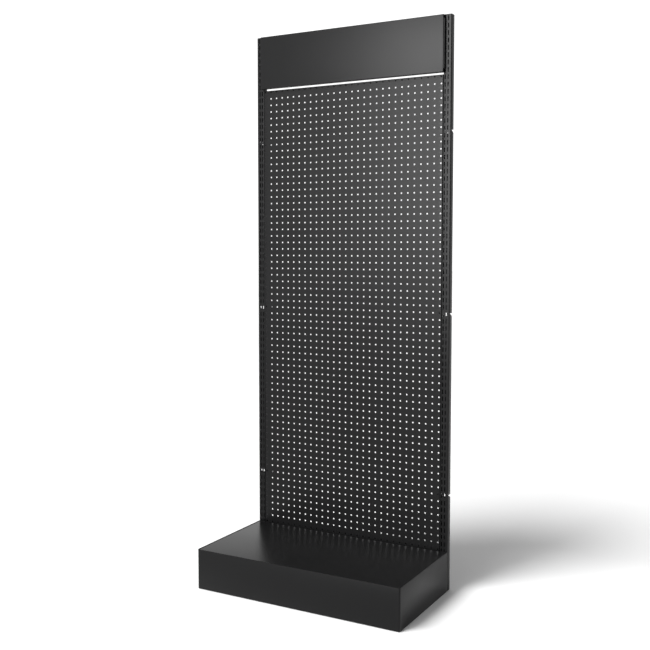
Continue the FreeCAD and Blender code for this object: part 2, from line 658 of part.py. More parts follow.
def make_deck_stiffener(name, middle):
    """A channel spot-welded under the deck, between the shoes."""
    body = new_body(name)
    deck_underside = f"{DECK_TOP} - Dims.thin_sheet"
    blank = body_box(body, "Blank", ("-Dims.hat_half_length", "Dims.hat_half_length"),
                     (f"{middle} - Dims.hat_width / 2", f"{middle} + Dims.hat_width / 2"),
                     (f"{deck_underside} - Dims.hat_height", deck_underside))
    top = size("base_height") - size("deck_drop") - size("thin_sheet")
    bottom = top - size("hat_height")
    bends = fillet_edges(body, blank, "Bends", "Dims.thin_bend",
                         lambda edge: on_plane(edge, "Z", bottom) and edge.BoundBox.XLength > 1)
    fold_sheet(body, bends, "Dims.thin_sheet",
               [("Z", top), ("X", size("hat_half_length")), ("X", -size("hat_half_length"))])
    return body


def make_base_shoe(side):
    """The foot bracket that carries the deck: a channel bolted to the upright."""
    sign = SIDES[side]
    body = new_body(f"base_shoe_{side}")
    inner = f"{POST_INNER} - Dims.shoe_width"
    blank = body_box(body, "Blank", side_span(sign, inner, POST_INNER),
                     (f"{SKIRT_FRONT_INSIDE} + Dims.shoe_play", "Dims.shoe_rear"),
                     ("Dims.shoe_bottom", SHOE_TOP))
    web = sign * (size("bay_width") / 2 - size("post_width"))
    open_side = web - sign * size("shoe_width")
    bends = fillet_edges(body, blank, "Bends", "Dims.shoe_bend",
                         lambda edge: on_plane(edge, "X", web)
                         and not on_plane(edge, "Y", size("shoe_rear")))
    fold_sheet(body, bends, "Dims.shoe_sheet", [("X", open_side), ("Y", size("shoe_rear"))])
    web_span = side_span(sign, f"{POST_INNER} - Dims.shoe_sheet", POST_INNER)
    body_box(body, "Tail", web_span,
             ("Dims.shoe_rear - Dims.shoe_tail_lap", f"{REAR} - Dims.shoe_tail_gap"),
             ("Dims.shoe_bottom + Dims.shoe_tail_drop", "Dims.shoe_tail_top"))
    x = "Dims.foot_side" if sign > 0 else "-Dims.foot_side"
    for name, place in (("FrontFoot", "Dims.foot_front"), ("RearFoot", "Dims.foot_rear")):
        body_hole(body, name, "z", "(Dims.nut_bore + Dims.foot_hole_play)",
                  f"Dims.shoe_sheet + {2 * OVERCUT}", (x, place, f"Dims.shoe_bottom - {OVERCUT}"))
    for name, height in (("LowBolt", "Dims.bolt_low"), ("HighBolt", "Dims.bolt_high")):
        cut_bolt_hole(body, name, sign, f"{POST_INNER} - Dims.shoe_sheet", "Dims.shoe_sheet", height)
    return body


def make_rear_tie():
    """The channel that ties both uprights together behind the base."""
    body = new_body("rear_tie")
    half = f"({POST_INNER} - Dims.shoe_sheet)"
    blank = body_box(body, "Blank", (f"-{half}", half),
                     ("Dims.tie_front", "Dims.tie_front + Dims.tie_depth"),
                     ("Dims.tie_bottom", "Dims.tie_bottom + Dims.tie_height"))
    rear = size("tie_front") + size("tie_depth")
    bends = fillet_edges(body, blank, "Bends", "Dims.thin_bend",
                         lambda edge: on_plane(edge, "Y", rear))
    fold_sheet(body, bends, "Dims.tie_sheet", [("Y", size("tie_front"))])
    for side, sign in SIDES.items():
        for name, height in (("Low", "Dims.bolt_low"), ("High", "Dims.bolt_high")):
            cut_bolt_hole(body, f"{name}Bolt{side}", sign,
                          f"{POST_INNER} - Dims.shoe_sheet - Dims.tie_sheet", "Dims.tie_sheet", height)
    return body


def make_foot_pad(name, x, y):
    """The moulded pad under a levelling stem, with a socket for the stem."""
    body = new_body(f"foot_pad_{name}")
    cone = body.newObject("PartDesign::AdditiveCone", "Pad")
    bind(cone, {
        "Radius1": "Dims.pad_dia / 2",
        "Radius2": "Dims.pad_top_dia / 2",
        "Height": "Dims.pad_height",
        "Placement.Base.x": x,
        "Placement.Base.y": y,
    })
    document.recompute()
    body_hole(body, "Socket", "z", "Dims.stem_dia", f"Dims.stem_socket + {OVERCUT}",
              (x, y, "Dims.pad_height - Dims.stem_socket"))
    return body


def make_foot_stem(name, x, y):
    """The threaded levelling stem with the hexagon that turns it."""
    body = new_body(f"foot_stem_{name}")
    base = "Dims.pad_height - Dims.stem_socket"
    shank = body.newObject("PartDesign::AdditiveCylinder", "Shank")
    bind(shank, {
        "Radius": "Dims.stem_dia / 2",
        "Height": f"Dims.stem_top - ({base})",
        "Placement.Base.x": x,
        "Placement.Base.y": y,
        "Placement.Base.z": base,
    })
    document.recompute()
    hexagon = body.newObject("PartDesign::AdditivePrism", "Hexagon")
    bind(hexagon, {
        "Circumradius": "Dims.stem_hex / sqrt(3)",
        "Height": "Dims.stem_hex_height",
        "Placement.Base.x": x,
        "Placement.Base.y": y,
        "Placement.Base.z": "Dims.pad_height",
    })
    hexagon.Polygon = 6
    document.recompute()
    fillet_edges(body, hexagon, "StemEnd", "Dims.stem_chamfer",
                 lambda edge: on_plane(edge, "Z", size("stem_top")))
    return body


def hexagon_solid(across_flats, height):
    """A hexagonal prism along +Z from the origin."""
    radius = across_flats / 3 ** 0.5
    corners = [Vector(radius, 0, 0)]
    for step in range(1, 7):
        corners.append(Rotation(Vector(0, 0, 1), 60 * step).multVec(corners[0]))
    return Part.Face(Part.makePolygon(corners)).extrude(Vector(0, 0, height))


def make_group(label, solid, placements):
    """Identical fasteners as one node: a separate solid at each placement."""
    copies = []
    for placement in placements:
        copy = solid.copy()
        copy.Placement = placement
        copies.append(copy)
    group = document.addObject("Part::Feature", label)
    group.Label = label
    group.Shape = Part.makeCompound(copies)
    nodes.append(group)
    return group


def make_frame_bolts():
    """Hex bolts through tie, shoe and upright, with a captive nut in the upright."""
    post_inner = size("bay_width") / 2 - size("post_width")
    head_face = post_inner - size("shoe_sheet") - size("tie_sheet")
    nut_face = post_inner + size("post_wall")
    y = size("tie_front") + size("tie_depth") / 2
    length = nut_face + size("bolt_nut") + size("bolt_end") - head_face
    head = hexagon_solid(size("bolt_hex"), size("bolt_head"))
    head = head.makeChamfer(size("bolt_chamfer"),
                            [edge for edge in head.Edges if on_plane(edge, "Z", 0)])
    shank = Part.makeCylinder(size("bolt_dia") / 2, length, Vector(0, 0, size("bolt_head")))
    bolt = head.fuse(shank).removeSplitter()
    nut = hexagon_solid(size("bolt_hex"), size("bolt_nut"))
    nut = nut.cut(Part.makeCylinder(size("bolt_dia") / 2, size("bolt_nut")))
    bolts = []
    nuts = []
    for sign in SIDES.values():
        along = Rotation(Vector(0, 0, 1), Vector(sign, 0, 0))
        for height in (size("bolt_low"), size("bolt_high")):
            bolts.append(Placement(Vector(sign * (head_face - size("bolt_head")), y, height), along))
            nuts.append(Placement(Vector(sign * nut_face, y, height), along))
    make_group("frame_bolts", bolt, bolts)
    make_group("frame_nuts", nut, nuts)


def make_skirt_screws():
    """Pan-head screws that hold the skirt's end flanges to the uprights."""
    rear = size("bay_depth") / 2 - size("post_depth") - size("post_gap")
    face = rear - size("skirt_sheet")
    head = Part.makeCylinder(size("screw_head_dia") / 2, size("screw_head"))
    head = head.makeFillet(size("screw_round"),
                           [edge for edge in head.Edges if on_plane(edge, "Z", 0)])
    length = size("skirt_sheet") + size("post_wall") + size("screw_end")
    shank = Part.makeCylinder(size("screw_dia") / 2, length, Vector(0, 0, size("screw_head")))
    screw = head.fuse(shank).removeSplitter()
    x = size("bay_width") / 2 - size("slot_inset") - size("slot_columns") / 2
    back = Rotation(Vector(0, 0, 1), Vector(0, 1, 0))
    placements = []
    for sign in SIDES.values():
        for height in (size("screw_low"), size("screw_high")):
            placements.append(Placement(Vector(sign * x, face - size("screw_head"), height), back))
    make_group("skirt_screws", screw, placements)


def make_weld_nuts():
    """The nuts on the shoes' lower flanges that the levelling stems turn in."""
    nut = hexagon_solid(size("stem_hex"), size("weld_nut"))
    nut = nut.cut(Part.makeCylinder(size("nut_bore") / 2, size("weld_nut")))
    height = size("shoe_bottom") + size("shoe_sheet")
    placements = []
    for sign in SIDES.values():
        for y in (size("foot_front"), size("foot_rear")):
            placements.append(Placement(Vector(sign * size("foot_side"), y, height), Rotation()))
    make_group("foot_weld_nuts", nut, placements)


def check_and_export():
    """Stop on any failed object, then write one STEP file for each node."""
    document.recompute()
    for item in document.Objects:
        if "Invalid" in item.State or "Error" in item.State:
            raise RuntimeError(f"{item.Label} failed: {item.State}")
    os.makedirs("parts", exist_ok=True)
    for node in nodes:
        shape = node.Shape
        if shape.isNull() or not shape.isValid() or not shape.Solids:
            raise RuntimeError(f"{node.Label} has no valid shape")
        shape.exportStep(f"parts/{node.Label}.step")
        print(f"{node.Label}: {len(shape.Solids)} solid(s), {shape.Volume / 1000:.1f} cm3")


for side_name in SIDES:
    make_upright(side_name)
    make_post_cap(side_name)
make_pegboard()
for side_name in SIDES:
    make_panel_hooks(side_name)
make_header()
for side_name in SIDES:
    make_header_bracket(side_name)
make_skirt()
make_deck()
make_deck_stiffener("deck_stiffener_front", "Dims.hat_front")
make_deck_stiffener("deck_stiffener_rear", "Dims.hat_rear")
for side_name in SIDES:
    make_base_shoe(side_name)
make_rear_tie()
for side_name, side_sign in SIDES.items():
    foot_x = "Dims.foot_side" if side_sign > 0 else "-Dims.foot_side"
    for end, foot_y in (("front", "Dims.foot_front"), ("rear", "Dims.foot_rear")):
        make_foot_pad(f"{end}_{side_name}", foot_x, foot_y)
        make_foot_stem(f"{end}_{side_name}", foot_x, foot_y)
make_frame_bolts()
make_skirt_screws()
make_weld_nuts()
check_and_export()
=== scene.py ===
import json
import math

import bpy
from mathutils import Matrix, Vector


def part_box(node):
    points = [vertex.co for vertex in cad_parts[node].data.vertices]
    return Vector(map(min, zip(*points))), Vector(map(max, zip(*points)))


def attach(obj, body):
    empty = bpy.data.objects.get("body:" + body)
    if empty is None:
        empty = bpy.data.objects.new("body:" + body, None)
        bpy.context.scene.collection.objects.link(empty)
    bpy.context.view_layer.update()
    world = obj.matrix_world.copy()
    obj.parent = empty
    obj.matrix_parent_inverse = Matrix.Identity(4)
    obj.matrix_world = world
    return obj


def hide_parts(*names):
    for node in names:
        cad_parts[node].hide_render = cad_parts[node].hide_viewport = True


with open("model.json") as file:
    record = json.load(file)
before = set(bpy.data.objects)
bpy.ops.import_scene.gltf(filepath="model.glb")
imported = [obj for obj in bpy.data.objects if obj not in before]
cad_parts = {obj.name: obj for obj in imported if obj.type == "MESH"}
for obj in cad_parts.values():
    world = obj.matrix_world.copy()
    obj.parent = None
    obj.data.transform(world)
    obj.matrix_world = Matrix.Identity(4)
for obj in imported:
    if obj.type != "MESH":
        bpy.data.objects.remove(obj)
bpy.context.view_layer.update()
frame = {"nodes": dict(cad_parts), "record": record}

bl_info = {
    "name": "Pegboard Tool Wall",
    "version": (1, 0, 0),
    "blender": (4, 5, 0),
    "location": "View3D > Sidebar > Tool Wall",
    "description": "Builds the visible sheet metal of a pegboard display bay around its frame",
    "category": "Object",
}

SIDES = {"left": -1, "right": 1}
UPRIGHT_TO_FRONT = (math.pi / 2, 0, 0)
NEAR = 1e-5

BEND_STEPS = 5
OUTER_BEND_STEPS = 6
REAR_BEND_STEPS = 4
SLOT_SIDES = 12
SLOT_COLUMNS = 2
NOTCH_CUT_MARGIN = 0.01
HOOK_ABOVE_NOTCH = 0.002
HOOK_SPACING = 0.1
SMOOTH_ANGLE = 40
UPRIGHT_SMOOTH_ANGLE = 30

UPRIGHT = {side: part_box(f"upright_{side}") for side in SIDES}
PANEL_NODES = ("pegboard_upper", "pegboard_lower")
PANEL = (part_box("pegboard_lower")[0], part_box("pegboard_upper")[1])
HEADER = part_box("header_panel")
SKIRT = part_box("base_skirt")
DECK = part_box("base_deck")


# --- Settings ---------------------------------------------------------------

class PegboardSettings(bpy.types.PropertyGroup):
    """Sizes of the perforated back."""

    pitch: bpy.props.FloatProperty(
        name="Hole spacing", description="Distance between hole centres, both ways",
        default=0.025, min=0.005, unit="LENGTH")
    hole: bpy.props.FloatProperty(
        name="Hole diameter", description="Diameter of one peg hole",
        default=0.006, min=0.001, unit="LENGTH")
    hole_sides: bpy.props.IntProperty(
        name="Hole sides", description="Straight sides that make up one round hole",
        default=16, min=6, max=24)
    columns: bpy.props.IntProperty(
        name="Columns", description="Holes from side to side", default=30, min=1)
    rows: bpy.props.IntProperty(
        name="Rows", description="Holes from top to bottom", default=68, min=1)
    top_margin: bpy.props.FloatProperty(
        name="Top margin", description="Top row of hole centres to the panel's top",
        default=0.006, min=0.004, unit="LENGTH")
    sheet: bpy.props.FloatProperty(
        name="Sheet", description="Thickness of the folded sheet",
        default=0.0012, min=0.0005, unit="LENGTH")
    bend: bpy.props.FloatProperty(
        name="Bend", description="Outside radius of the sheet's folds",
        default=0.0025, min=0.001, unit="LENGTH")
    lip: bpy.props.FloatProperty(
        name="Lip", description="Lip folded behind the top and bottom rows",
        default=0.012, min=0.001, unit="LENGTH")


class UprightSettings(bpy.types.PropertyGroup):
    """Sizes of the slotted uprights."""

    pitch: bpy.props.FloatProperty(
        name="Slot spacing", description="Distance between slot centres in one column",
        default=0.025, min=0.005, unit="LENGTH")
    slots: bpy.props.IntProperty(
        name="Slots", description="Slots in one column", default=80, min=1)
    slot_width: bpy.props.FloatProperty(
        name="Slot width", description="Width of one slot",
        default=0.004, min=0.001, unit="LENGTH")
    slot_length: bpy.props.FloatProperty(
        name="Slot length", description="Length of one slot, end to end",
        default=0.0175, min=0.002, unit="LENGTH")
    slot_inset: bpy.props.FloatProperty(
        name="Slot inset", description="Outer slot column from the upright's outer face",
        default=0.0125, min=0.001, unit="LENGTH")
    slot_columns: bpy.props.FloatProperty(
        name="Column spacing", description="Distance between the two slot columns",
        default=0.011, min=0.001, unit="LENGTH")
    wall: bpy.props.FloatProperty(
        name="Wall", description="Thickness of the upright's wall",
        default=0.002, min=0.0005, unit="LENGTH")
    outer_bend: bpy.props.FloatProperty(
        name="Outer bend", description="Outside radius of the outer front corner",
        default=0.004, min=0.001, unit="LENGTH")
    inner_bend: bpy.props.FloatProperty(
        name="Other bends", description="Outside radius of the other three corners",
        default=0.0025, min=0.001, unit="LENGTH")
    notch_height: bpy.props.FloatProperty(
        name="Notch height", description="Height of a hook notch at its open end",
        default=0.012, min=0.001, unit="LENGTH")
    notch_depth: bpy.props.FloatProperty(
        name="Notch depth", description="Depth of a hook notch from the rear edge",
        default=0.022, min=0.001, unit="LENGTH")


class SheetSettings(bpy.types.PropertyGroup):
    """Sizes of the header, the base skirt and the deck."""

    thin_sheet: bpy.props.FloatProperty(
        name="Thin sheet", description="Sheet of the header and the deck",
        default=0.0012, min=0.0005, unit="LENGTH")
    thin_bend: bpy.props.FloatProperty(
        name="Thin bend", description="Outside radius of the thin sheet's folds",
        default=0.0025, min=0.001, unit="LENGTH")
    skirt_sheet: bpy.props.FloatProperty(
        name="Skirt sheet", description="Sheet of the base skirt",
        default=0.0015, min=0.0005, unit="LENGTH")
    skirt_bend: bpy.props.FloatProperty(
        name="Skirt bend", description="Outside radius of the skirt's front corners",
        default=0.006, min=0.001, unit="LENGTH")
    deck_corner: bpy.props.FloatProperty(
        name="Deck corner", description="Corner radius of the deck seen from above",
        default=0.004, min=0.001, unit="LENGTH")
    end_flange: bpy.props.FloatProperty(
        name="End flange", description="Width of the flange at the skirt's rear ends",
        default=0.025, min=0.001, unit="LENGTH")
    bottom_return: bpy.props.FloatProperty(
        name="Bottom return", description="Depth of the fold under the skirt's front",
        default=0.008, min=0.001, unit="LENGTH")
    broken_edge: bpy.props.FloatProperty(
        name="Broken edge", description="Rounding of the cut sheet edges under the paint",
        default=0.0004, min=0.0, unit="LENGTH")


class FinishSettings(bpy.types.PropertyGroup):
    """Colours and textures of the finishes."""

    paint: bpy.props.FloatVectorProperty(
        name="Powder coat", description="Colour of the black powder coat", subtype="COLOR",
        size=4, min=0.0, max=1.0, default=(0.0063, 0.0063, 0.0065, 1.0))
    paint_roughness: bpy.props.FloatProperty(
        name="Powder coat roughness", description="Roughness of the powder coat",
        default=0.3, min=0.0, max=1.0)
    zinc: bpy.props.FloatVectorProperty(
        name="Zinc", description="Colour of the plated fasteners", subtype="COLOR",
        size=4, min=0.0, max=1.0, default=(0.55, 0.56, 0.58, 1.0))
    plastic: bpy.props.FloatVectorProperty(
        name="Plastic", description="Colour of the moulded caps and foot pads", subtype="COLOR",
        size=4, min=0.0, max=1.0, default=(0.02, 0.02, 0.02, 1.0))


# --- Mesh helpers -----------------------------------------------------------

def deselect_all():
    """Leave nothing selected in object mode."""
    if bpy.context.object and bpy.context.object.mode != "OBJECT":
        bpy.ops.object.mode_set(mode="OBJECT")
    bpy.ops.object.select_all(action="DESELECT")


def begin(name):
    """Name the primitive just added and enter its edit mode with nothing selected."""
    piece = bpy.context.object
    piece.name = name
    piece.data.name = name
    bpy.ops.object.transform_apply(location=True, rotation=True, scale=True)
    bpy.ops.object.mode_set(mode="EDIT")
    bpy.ops.mesh.select_all(action="DESELECT")
    return piece


def select_where(piece, kind, test):
    """Select the vertices, edges or faces whose points all pass a test."""
    bpy.ops.mesh.select_mode(type=kind)
    bpy.ops.mesh.select_all(action="DESELECT")
    bpy.ops.object.mode_set(mode="OBJECT")
    mesh = piece.data
    passed = [test(vertex.co) for vertex in mesh.vertices]
    items = {"VERT": mesh.vertices, "EDGE": mesh.edges, "FACE": mesh.polygons}[kind]
    for item in items:
        points = [item.index] if kind == "VERT" else item.vertices
        item.select = all(passed[index] for index in points)
    found = any(item.select for item in items)
    bpy.ops.object.mode_set(mode="EDIT")
    if not found:
        raise RuntimeError(f"{piece.name}: nothing to select")


def extrude(*move):
    """Extrude the selected edges by x, y and z."""
    bpy.ops.mesh.extrude_edges_move(TRANSFORM_OT_translate={"value": move})


def add_box(name, low, high):
    """A box primitive between two corners, ready to be shaped in edit mode."""
    deselect_all()
    bpy.ops.mesh.primitive_cube_add(size=1, location=(low + high) / 2)
    bpy.context.object.scale = high - low
    return begin(name)


def select_only(piece):
    """Select one piece in object mode and make it active."""
    deselect_all()
    piece.select_set(True)
    bpy.context.view_layer.objects.active = piece


def apply_modifier(piece, kind, name, **values):
    """Add a modifier with these values and apply it."""
    select_only(piece)
    modifier = piece.modifiers.new(name, kind)
    for key, value in values.items():
        setattr(modifier, key, value)
    bpy.ops.object.modifier_apply(modifier=modifier.name)


def repeat(piece, name, count, step):
    """Repeat a cell in a straight line and join each copy to the last."""
    apply_modifier(piece, "ARRAY", name, count=count,
                   use_relative_offset=False, use_constant_offset=True,
                   constant_offset_displace=step,
                   use_merge_vertices=True, merge_threshold=NEAR)


def thicken(piece, sheet):
    """Give an outer skin its sheet thickness, inwards."""
    apply_modifier(piece, "SOLIDIFY", "Sheet", thickness=sheet, offset=-1.0,
                   use_even_offset=True, use_quality_normals=True)


def break_edges(piece, width):
    """Round the cut edges of the sheet a little."""
    apply_modifier(piece, "BEVEL", "BrokenEdge", width=width, segments=2,
                   limit_method="ANGLE", angle_limit=math.radians(60),
                   use_clamp_overlap=True, miter_outer="MITER_ARC")


def finish_mesh(piece, angle=SMOOTH_ANGLE):
    """Shade the piece: flat faces stay flat, folds look round."""
    select_only(piece)
    bpy.ops.object.shade_smooth_by_angle(angle=math.radians(angle))
    deselect_all()


def arc_steps(radius, count):
    """Small moves that carry an edge round a quarter circle: (outwards, back) pairs."""
    steps = []
    for step in range(count):
        start = math.radians(90 * step / count)
        end = math.radians(90 * (step + 1) / count)
        steps.append((radius * (math.sin(end) - math.sin(start)),
                      radius * (math.cos(start) - math.cos(end))))
    return steps


def add_slot(piece, centre, width, length):
    """Add a slot's outline: a ring of edges whose halves are moved apart."""
    half_turn = math.pi / SLOT_SIDES
    radius = width / 2 / math.cos(half_turn)
    straight = length / 2 - radius * math.cos(half_turn)
    bpy.ops.mesh.select_all(action="DESELECT")
    bpy.ops.mesh.primitive_circle_add(vertices=SLOT_SIDES, radius=radius, location=centre,
                                      rotation=(math.pi / 2, half_turn, 0))
    for end in (1, -1):
        select_where(piece, "VERT", lambda point: abs(point.x - centre.x) < width
                     and 0 < (point.z - centre.z) * end < width)
        bpy.ops.transform.translate(value=(0, 0, end * straight))


# --- Finishes ---------------------------------------------------------------

def new_material(name):
    """A node material with its principled shader."""
    material = bpy.data.materials.new(name)
    material.use_nodes = True
    return material, material.node_tree.nodes, material.node_tree.links


def noise_on_object(nodes, links, scale, detail, roughness=0.5):
    """A noise texture on Object coordinates."""
    place = nodes.new("ShaderNodeTexCoord")
    noise = nodes.new("ShaderNodeTexNoise")
    noise.inputs["Scale"].default_value = scale
    noise.inputs["Detail"].default_value = detail
    noise.inputs["Roughness"].default_value = roughness
    links.new(place.outputs["Object"], noise.inputs["Vector"])
    return noise


def map_range(nodes, links, source, low, high):
    """Stretch a 0 to 1 value to a new range."""
    node = nodes.new("ShaderNodeMapRange")
    node.inputs["To Min"].default_value = low
    node.inputs["To Max"].default_value = high
    links.new(source, node.inputs["Value"])
    return node.outputs["Result"]


def fade(nodes, links, source, start, values):
    """Fade from one value to another between two places."""
    node = nodes.new("ShaderNodeMapRange")
    node.interpolation_type = "SMOOTHSTEP"
    node.inputs["From Min"].default_value, node.inputs["From Max"].default_value = start
    node.inputs["To Min"].default_value, node.inputs["To Max"].default_value = values
    links.new(source, node.inputs["Value"])
    return node.outputs["Result"]


def tint(nodes, links, factor, colour, darker, lighter):
    """Mix between a darker and a lighter shade of one colour."""
    mix = nodes.new("ShaderNodeMix")
    mix.data_type = "RGBA"
    mix.inputs["A"].default_value = [c * darker for c in colour[:3]] + [1.0]
    mix.inputs["B"].default_value = [c * lighter for c in colour[:3]] + [1.0]
    links.new(factor, mix.inputs["Factor"])
    return mix.outputs["Result"]


def bump(nodes, links, height, strength, distance):
    """Turn a height into a bumped normal."""
    node = nodes.new("ShaderNodeBump")
    node.inputs["Strength"].default_value = strength
    node.inputs["Distance"].default_value = distance
    links.new(height, node.inputs["Height"])
    return node.outputs["Normal"]


def powder_coat():
    """Satin black powder coat: fine orange peel and slightly uneven gloss."""
    settings = bpy.context.scene.bay_finish
    material, nodes, links = new_material("powder_coat")
    shader = nodes["Principled BSDF"]
    cloud = noise_on_object(nodes, links, 3.0, 3.0)
    peel = noise_on_object(nodes, links, 900.0, 3.0, 0.6)
    colour = tint(nodes, links, cloud.outputs["Fac"], settings.paint, 0.88, 1.12)
    links.new(colour, shader.inputs["Base Color"])
    base = settings.paint_roughness
    rough = map_range(nodes, links, cloud.outputs["Fac"], base - 0.04, base + 0.06)
    links.new(rough, shader.inputs["Roughness"])
    links.new(bump(nodes, links, peel.outputs["Fac"], 0.22, 0.00008), shader.inputs["Normal"])
    shader.inputs["IOR"].default_value = 1.24
    return material


def zinc_plate():
    """Bright zinc plating with a fine grain."""
    settings = bpy.context.scene.bay_finish
    material, nodes, links = new_material("zinc_plate")
    shader = nodes["Principled BSDF"]
    grain = noise_on_object(nodes, links, 700.0, 4.0, 0.65)
    colour = tint(nodes, links, grain.outputs["Fac"], settings.zinc, 0.85, 1.1)
    links.new(colour, shader.inputs["Base Color"])
    rough = map_range(nodes, links, grain.outputs["Fac"], 0.28, 0.46)
    links.new(rough, shader.inputs["Roughness"])
    links.new(bump(nodes, links, grain.outputs["Fac"], 0.1, 0.00005), shader.inputs["Normal"])
    shader.inputs["Metallic"].default_value = 1.0
    return material


def moulded_plastic():
    """Matt black moulded plastic with a fine spark-eroded texture."""
    settings = bpy.context.scene.bay_finish
    material, nodes, links = new_material("moulded_plastic")
    shader = nodes["Principled BSDF"]
    grain = noise_on_object(nodes, links, 1400.0, 2.0)
    colour = tint(nodes, links, grain.outputs["Fac"], settings.plastic, 0.85, 1.15)
    links.new(colour, shader.inputs["Base Color"])
    rough = map_range(nodes, links, grain.outputs["Fac"], 0.5, 0.66)
    links.new(rough, shader.inputs["Roughness"])
    links.new(bump(nodes, links, grain.outputs["Fac"], 0.35, 0.0001), shader.inputs["Normal"])
    shader.inputs["IOR"].default_value = 1.48
    return material


FINISHES = {}
MAKERS = {"powder_coat": powder_coat, "zinc_plate": zinc_plate, "moulded_plastic": moulded_plastic}


def finish(name):
    """One of the finishes, made the first time it is asked for."""
    if name not in FINISHES:
        FINISHES[name] = MAKERS[name]()
    return FINISHES[name]


def coat(piece, name):
    """Give a piece one finish all over."""
    piece.data.materials.clear()
    piece.data.materials.append(finish(name))


def install(piece, body, nodes, finish_name="powder_coat"):
    """Finish a new piece, put it on its body and let it stand for its CAD nodes."""
    coat(piece, finish_name)
    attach(piece, body)
    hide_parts(*nodes)


# --- Pieces -----------------------------------------------------------------

class BAY_OT_pegboard(bpy.types.Operator):
    """Build the perforated back from one repeated cell and fold its edges"""

    bl_idname = "bay.pegboard"
    bl_label = "Pegboard"

    def execute(self, context):
        sizes = context.scene.bay_pegboard
        low, high = PANEL
        half = (high.x - low.x) / 2
        front = low.y
        top = high.z
        lowest = top - sizes.top_margin - (sizes.rows - 1) * sizes.pitch
        first = Vector((-(sizes.columns - 1) * sizes.pitch / 2, front, lowest))

        deselect_all()
        bpy.ops.mesh.primitive_plane_add(size=sizes.pitch, location=first,
                                         rotation=UPRIGHT_TO_FRONT)
        piece = begin("pegboard_sheet")
        bpy.ops.mesh.select_mode(type="FACE")
        bpy.ops.mesh.select_all(action="SELECT")
        bpy.ops.mesh.delete(type="ONLY_FACE")
        bpy.ops.mesh.primitive_circle_add(vertices=sizes.hole_sides, radius=sizes.hole / 2,
                                          location=first, rotation=UPRIGHT_TO_FRONT)
        bpy.ops.mesh.select_mode(type="EDGE")
        bpy.ops.mesh.select_all(action="SELECT")
        bpy.ops.mesh.fill(use_beauty=True)
        face_front(piece)
        repeat(piece, "Columns", sizes.columns, (sizes.pitch, 0, 0))
        repeat(piece, "Rows", sizes.rows, (0, 0, sizes.pitch))

        flat_x = half - sizes.bend
        flat_low = low.z + sizes.bend
        flat_high = top - sizes.bend
        bpy.ops.object.mode_set(mode="EDIT")
        grid_x = sizes.columns * sizes.pitch / 2
        grid_low = first.z - sizes.pitch / 2
        grid_high = grid_low + sizes.rows * sizes.pitch
        margins = ((0, grid_x, flat_x), (0, -grid_x, -flat_x),
                   (2, grid_low, flat_low), (2, grid_high, flat_high))
        for axis, start, end in margins:
            select_where(piece, "VERT", lambda point: abs(point[axis] - start) < NEAR)
            move = [0, 0, 0]
            move[axis] = end - start
            bpy.ops.transform.translate(value=move)

        middle = Vector((0, 0, (flat_low + flat_high) / 2))
        width = 2 * flat_x
        height = flat_high - flat_low
        depth = 0.0

        def outline(point):
            on_side = abs(abs(point.x) - width / 2) < NEAR
            on_end = abs(abs(point.z - middle.z) - height / 2) < NEAR
            return (on_side or on_end) and abs(point.y - front - depth) < NEAR

        for outwards, back in arc_steps(sizes.bend, REAR_BEND_STEPS):
            select_where(piece, "EDGE", outline)
            wider = (width + 2 * outwards) / width
            taller = (height + 2 * outwards) / height
            extrude(0, back, 0)
            bpy.ops.transform.resize(value=(wider, 1, taller), center_override=middle)
            width += 2 * outwards
            height += 2 * outwards
            depth += back
        select_where(piece, "EDGE", outline)
        extrude(0, high.y - front - depth, 0)
        for end, sign in ((top, 1), (low.z, -1)):
            select_where(piece, "EDGE", lambda point: abs(point.z - end) < NEAR
                         and abs(point.y - high.y) < NEAR)
            extrude(0, 0, -sign * sizes.lip)
            narrower = (half - 2 * sizes.sheet) / half
            bpy.ops.transform.resize(value=(narrower, 1, 1), center_override=middle)
        thicken(piece, sizes.sheet)
        finish_mesh(piece)
        install(piece, "frame", PANEL_NODES)
        return {"FINISHED"}


def face_front(piece):
    """Turn a flat skin's faces towards the front."""
    bpy.ops.object.mode_set(mode="OBJECT")
    bpy.ops.object.mode_set(mode="EDIT")
    bpy.ops.mesh.select_all(action="SELECT")
    bpy.ops.mesh.normals_make_consistent(inside=False)
    bpy.ops.object.mode_set(mode="OBJECT")
    turned = piece.data.polygons[0].normal.y > 0
    bpy.ops.object.mode_set(mode="EDIT")
    if turned:
        bpy.ops.mesh.flip_normals()
    bpy.ops.object.mode_set(mode="OBJECT")


